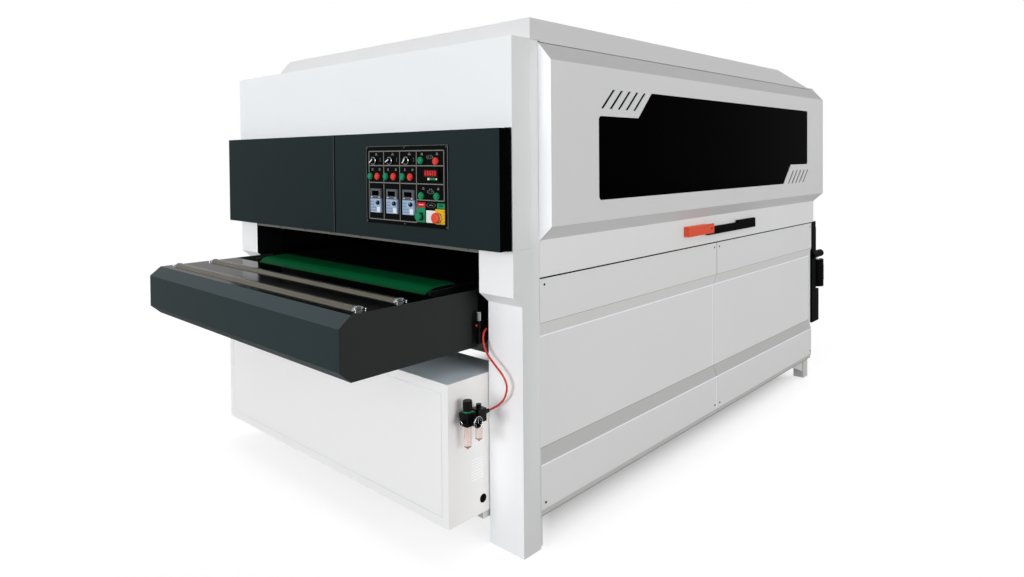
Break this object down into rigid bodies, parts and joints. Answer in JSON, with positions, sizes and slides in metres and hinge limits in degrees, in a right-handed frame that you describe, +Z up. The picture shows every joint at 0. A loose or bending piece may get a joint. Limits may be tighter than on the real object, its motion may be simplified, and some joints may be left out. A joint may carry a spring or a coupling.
{
  "type": "through-feed brush polishing machine",
  "caption": "White through-feed brush polishing machine with a green conveyor belt, infeed rollers, dark control cabinet and a bulged side door with a dark window.",
  "frame": {"origin": "centre of the machine's outline on the floor, under the middle of its length", "axes": "+X to the machine's right seen from the infeed, +Y from the infeed to the outfeed, +Z up"},
  "size_m": [2.246, 4, 2.05],
  "materials": {
    "frame_paint": "satin",
    "white_paint": "satin",
    "side_paint": "satin",
    "dark_paint": "satin",
    "table_paint": "gloss",
    "steel": "brushed",
    "polished_steel": "polished",
    "cast_dark": "matte",
    "motor_blue": "satin",
    "brush_fibre": "matte",
    "roller_rubber": "matte",
    "belt_green": "matte",
    "window_dark": "gloss",
    "latch_red": "satin",
    "black_plastic": "matte",
    "keypad_blue": "satin",
    "green_plastic": "gloss",
    "red_plastic": "gloss",
    "orange_plastic": "gloss",
    "bowl_clear": "clear",
    "hose_red": "satin",
    "electrics_grey": "matte"
  },
  "bodies": {
    "machine": {"base_frame": "frame_paint", "front_posts": "white_paint", "top_frame": "frame_paint", "base_box": "white_paint", "fascia": "white_paint", "roof_cover": "white_paint", "cabinet_shell": "frame_paint", "cabinet_components": "electrics_grey", "side_panels": "side_paint", "side_cover_left": "side_paint", "rear_panel": "side_paint", "panel_screws": "black_plastic", "air_unit": "dark_paint", "air_bowls": "bowl_clear", "air_valve": "black_plastic", "air_hose": "hose_red", "lift_jacks": "cast_dark", "head_bearings": "cast_dark", "brush_motors": "motor_blue", "door_hinges": "steel"},
    "bed": {"bed_frame": "dark_paint", "conveyor_belt": "belt_green", "feed_tables": "table_paint", "conveyor_gearmotor": "black_plastic", "lift_screws": "steel"},
    "infeed_roller_front": {"infeed_roller_front": "polished_steel"},
    "infeed_roller_rear": {"infeed_roller_rear": "polished_steel"},
    "drive_drum": {"drive_drum": "steel"},
    "idle_drum": {"idle_drum": "steel"},
    "brush_1": {"brush_roller_1": "brush_fibre"},
    "brush_2": {"brush_roller_2": "brush_fibre"},
    "brush_3": {"brush_roller_3": "brush_fibre"},
    "pressure_roller": {"pressure_roller": "roller_rubber"},
    "side_door": {"side_door_right": "side_paint", "door_window": "window_dark", "latch_body": "latch_red"},
    "latch": {"latch_lever": "black_plastic"},
    "cabinet_door_left": {"cabinet_door_left": "dark_paint"},
    "cabinet_door_right": {"cabinet_door_right": "dark_paint", "control_plate": "black_plastic", "panel_displays": "keypad_blue"},
    "selector_1": {"selector_knob_1": "polished_steel"},
    "selector_2": {"selector_knob_2": "polished_steel"},
    "selector_3": {"selector_knob_3": "polished_steel"},
    "dial_1": {"drive_dial_1": "black_plastic"},
    "dial_2": {"drive_dial_2": "black_plastic"},
    "dial_3": {"drive_dial_3": "black_plastic"},
    "start_button_1": {"start_button_1": "green_plastic"},
    "start_button_2": {"start_button_2": "green_plastic"},
    "start_button_3": {"start_button_3": "green_plastic"},
    "stop_button_1": {"stop_button_1": "red_plastic"},
    "stop_button_2": {"stop_button_2": "red_plastic"},
    "stop_button_3": {"stop_button_3": "red_plastic"},
    "feed_start_button": {"feed_start_button": "green_plastic"},
    "feed_stop_button": {"feed_stop_button": "red_plastic"},
    "bed_up_button": {"bed_up_button": "green_plastic"},
    "bed_down_button": {"bed_down_button": "green_plastic"},
    "main_start_button": {"main_start_button": "green_plastic"},
    "emergency_stop": {"emergency_stop": "orange_plastic"},
    "regulator_knob": {"regulator_knob": "black_plastic"}
  },
  "joints": [
    {"name": "bed_lift", "type": "slide", "parent": "machine", "child": "bed", "axis": [0, 0, 1], "range_m": [-0.03, 0.13]},
    {"name": "infeed_roller_front_spin", "type": "hinge", "parent": "bed", "child": "infeed_roller_front", "pos_m": [0, -1.882, 0.983], "axis": [1, 0, 0], "continuous": true},
    {"name": "infeed_roller_rear_spin", "type": "hinge", "parent": "bed", "child": "infeed_roller_rear", "pos_m": [0, -1.702, 0.983], "axis": [1, 0, 0], "continuous": true},
    {"name": "drive_drum_spin", "type": "hinge", "parent": "bed", "child": "drive_drum", "pos_m": [0, 1.835, 0.92], "axis": [1, 0, 0], "continuous": true},
    {"name": "idle_drum_spin", "type": "hinge", "parent": "bed", "child": "idle_drum", "pos_m": [0, -1.445, 0.92], "axis": [1, 0, 0], "continuous": true},
    {"name": "brush_1_spin", "type": "hinge", "parent": "machine", "child": "brush_1", "pos_m": [0, -0.74, 1.31], "axis": [1, 0, 0], "continuous": true},
    {"name": "brush_2_spin", "type": "hinge", "parent": "machine", "child": "brush_2", "pos_m": [0, 0.06, 1.31], "axis": [1, 0, 0], "continuous": true},
    {"name": "brush_3_spin", "type": "hinge", "parent": "machine", "child": "brush_3", "pos_m": [0, 0.86, 1.31], "axis": [1, 0, 0], "continuous": true},
    {"name": "pressure_roller_spin", "type": "hinge", "parent": "machine", "child": "pressure_roller", "pos_m": [0, -0.34, 1.205], "axis": [1, 0, 0], "continuous": true},
    {"name": "side_door_lift", "type": "hinge", "parent": "machine", "child": "side_door", "pos_m": [1.056, 0.197, 1.957], "axis": [0, -1, 0], "range_deg": [0, 75]},
    {"name": "latch_turn", "type": "hinge", "parent": "side_door", "child": "latch", "pos_m": [1.09, 0.099, 1.138], "axis": [-1, 0, 0], "range_deg": [0, 45]},
    {"name": "cabinet_door_left_swing", "type": "hinge", "parent": "machine", "child": "cabinet_door_left", "pos_m": [-1.05, -1.423, 1.4], "axis": [0, 0, -1], "range_deg": [0, 100]},
    {"name": "cabinet_door_right_swing", "type": "hinge", "parent": "machine", "child": "cabinet_door_right", "pos_m": [1.05, -1.423, 1.4], "axis": [0, 0, 1], "range_deg": [0, 100]},
    {"name": "selector_1_turn", "type": "hinge", "parent": "cabinet_door_right", "child": "selector_1", "pos_m": [0.31356, -1.4813, 1.51011], "axis": [0, 1, 0], "range_deg": [-45, 45]},
    {"name": "selector_2_turn", "type": "hinge", "parent": "cabinet_door_right", "child": "selector_2", "pos_m": [0.42656, -1.4813, 1.51011], "axis": [0, 1, 0], "range_deg": [-45, 45]},
    {"name": "selector_3_turn", "type": "hinge", "parent": "cabinet_door_right", "child": "selector_3", "pos_m": [0.53742, -1.4813, 1.51011], "axis": [0, 1, 0], "range_deg": [-45, 45]},
    {"name": "dial_1_turn", "type": "hinge", "parent": "cabinet_door_right", "child": "dial_1", "pos_m": [0.35352, -1.4916, 1.33182], "axis": [0, 1, 0], "range_deg": [-140, 140]},
    {"name": "dial_2_turn", "type": "hinge", "parent": "cabinet_door_right", "child": "dial_2", "pos_m": [0.46545, -1.4916, 1.33182], "axis": [0, 1, 0], "range_deg": [-140, 140]},
    {"name": "dial_3_turn", "type": "hinge", "parent": "cabinet_door_right", "child": "dial_3", "pos_m": [0.57418, -1.4916, 1.33182], "axis": [0, 1, 0], "range_deg": [-140, 140]},
    {"name": "start_button_1_press", "type": "slide", "parent": "cabinet_door_right", "child": "start_button_1", "axis": [0, 1, 0], "range_m": [0, 0.004], "stiffness_N_per_m": 400, "springref_m": -0.001},
    {"name": "start_button_2_press", "type": "slide", "parent": "cabinet_door_right", "child": "start_button_2", "axis": [0, 1, 0], "range_m": [0, 0.004], "stiffness_N_per_m": 400, "springref_m": -0.001},
    {"name": "start_button_3_press", "type": "slide", "parent": "cabinet_door_right", "child": "start_button_3", "axis": [0, 1, 0], "range_m": [0, 0.004], "stiffness_N_per_m": 400, "springref_m": -0.001},
    {"name": "stop_button_1_press", "type": "slide", "parent": "cabinet_door_right", "child": "stop_button_1", "axis": [0, 1, 0], "range_m": [0, 0.004], "stiffness_N_per_m": 400, "springref_m": -0.001},
    {"name": "stop_button_2_press", "type": "slide", "parent": "cabinet_door_right", "child": "stop_button_2", "axis": [0, 1, 0], "range_m": [0, 0.004], "stiffness_N_per_m": 400, "springref_m": -0.001},
    {"name": "stop_button_3_press", "type": "slide", "parent": "cabinet_door_right", "child": "stop_button_3", "axis": [0, 1, 0], "range_m": [0, 0.004], "stiffness_N_per_m": 400, "springref_m": -0.001},
    {"name": "feed_start_button_press", "type": "slide", "parent": "cabinet_door_right", "child": "feed_start_button", "axis": [0, 1, 0], "range_m": [0, 0.004], "stiffness_N_per_m": 400, "springref_m": -0.001},
    {"name": "feed_stop_button_press", "type": "slide", "parent": "cabinet_door_right", "child": "feed_stop_button", "axis": [0, 1, 0], "range_m": [0, 0.004], "stiffness_N_per_m": 400, "springref_m": -0.001},
    {"name": "bed_up_button_press", "type": "slide", "parent": "cabinet_door_right", "child": "bed_up_button", "axis": [0, 1, 0], "range_m": [0, 0.004], "stiffness_N_per_m": 400, "springref_m": -0.001},
    {"name": "bed_down_button_press", "type": "slide", "parent": "cabinet_door_right", "child": "bed_down_button", "axis": [0, 1, 0], "range_m": [0, 0.004], "stiffness_N_per_m": 400, "springref_m": -0.001},
    {"name": "main_start_button_press", "type": "slide", "parent": "cabinet_door_right", "child": "main_start_button", "axis": [0, 1, 0], "range_m": [0, 0.004], "stiffness_N_per_m": 500, "springref_m": -0.001},
    {"name": "emergency_stop_press", "type": "slide", "parent": "cabinet_door_right", "child": "emergency_stop", "axis": [0, 1, 0], "range_m": [0, 0.004]},
    {"name": "regulator_turn", "type": "hinge", "parent": "machine", "child": "regulator_knob", "pos_m": [0.925, -1.5195, 0.6], "axis": [0, 0, 1], "range_deg": [-720, 720]}
  ],
  "couplings": [
    {"joint": "idle_drum_spin", "follows": "drive_drum_spin", "ratio": 1}
  ]
}
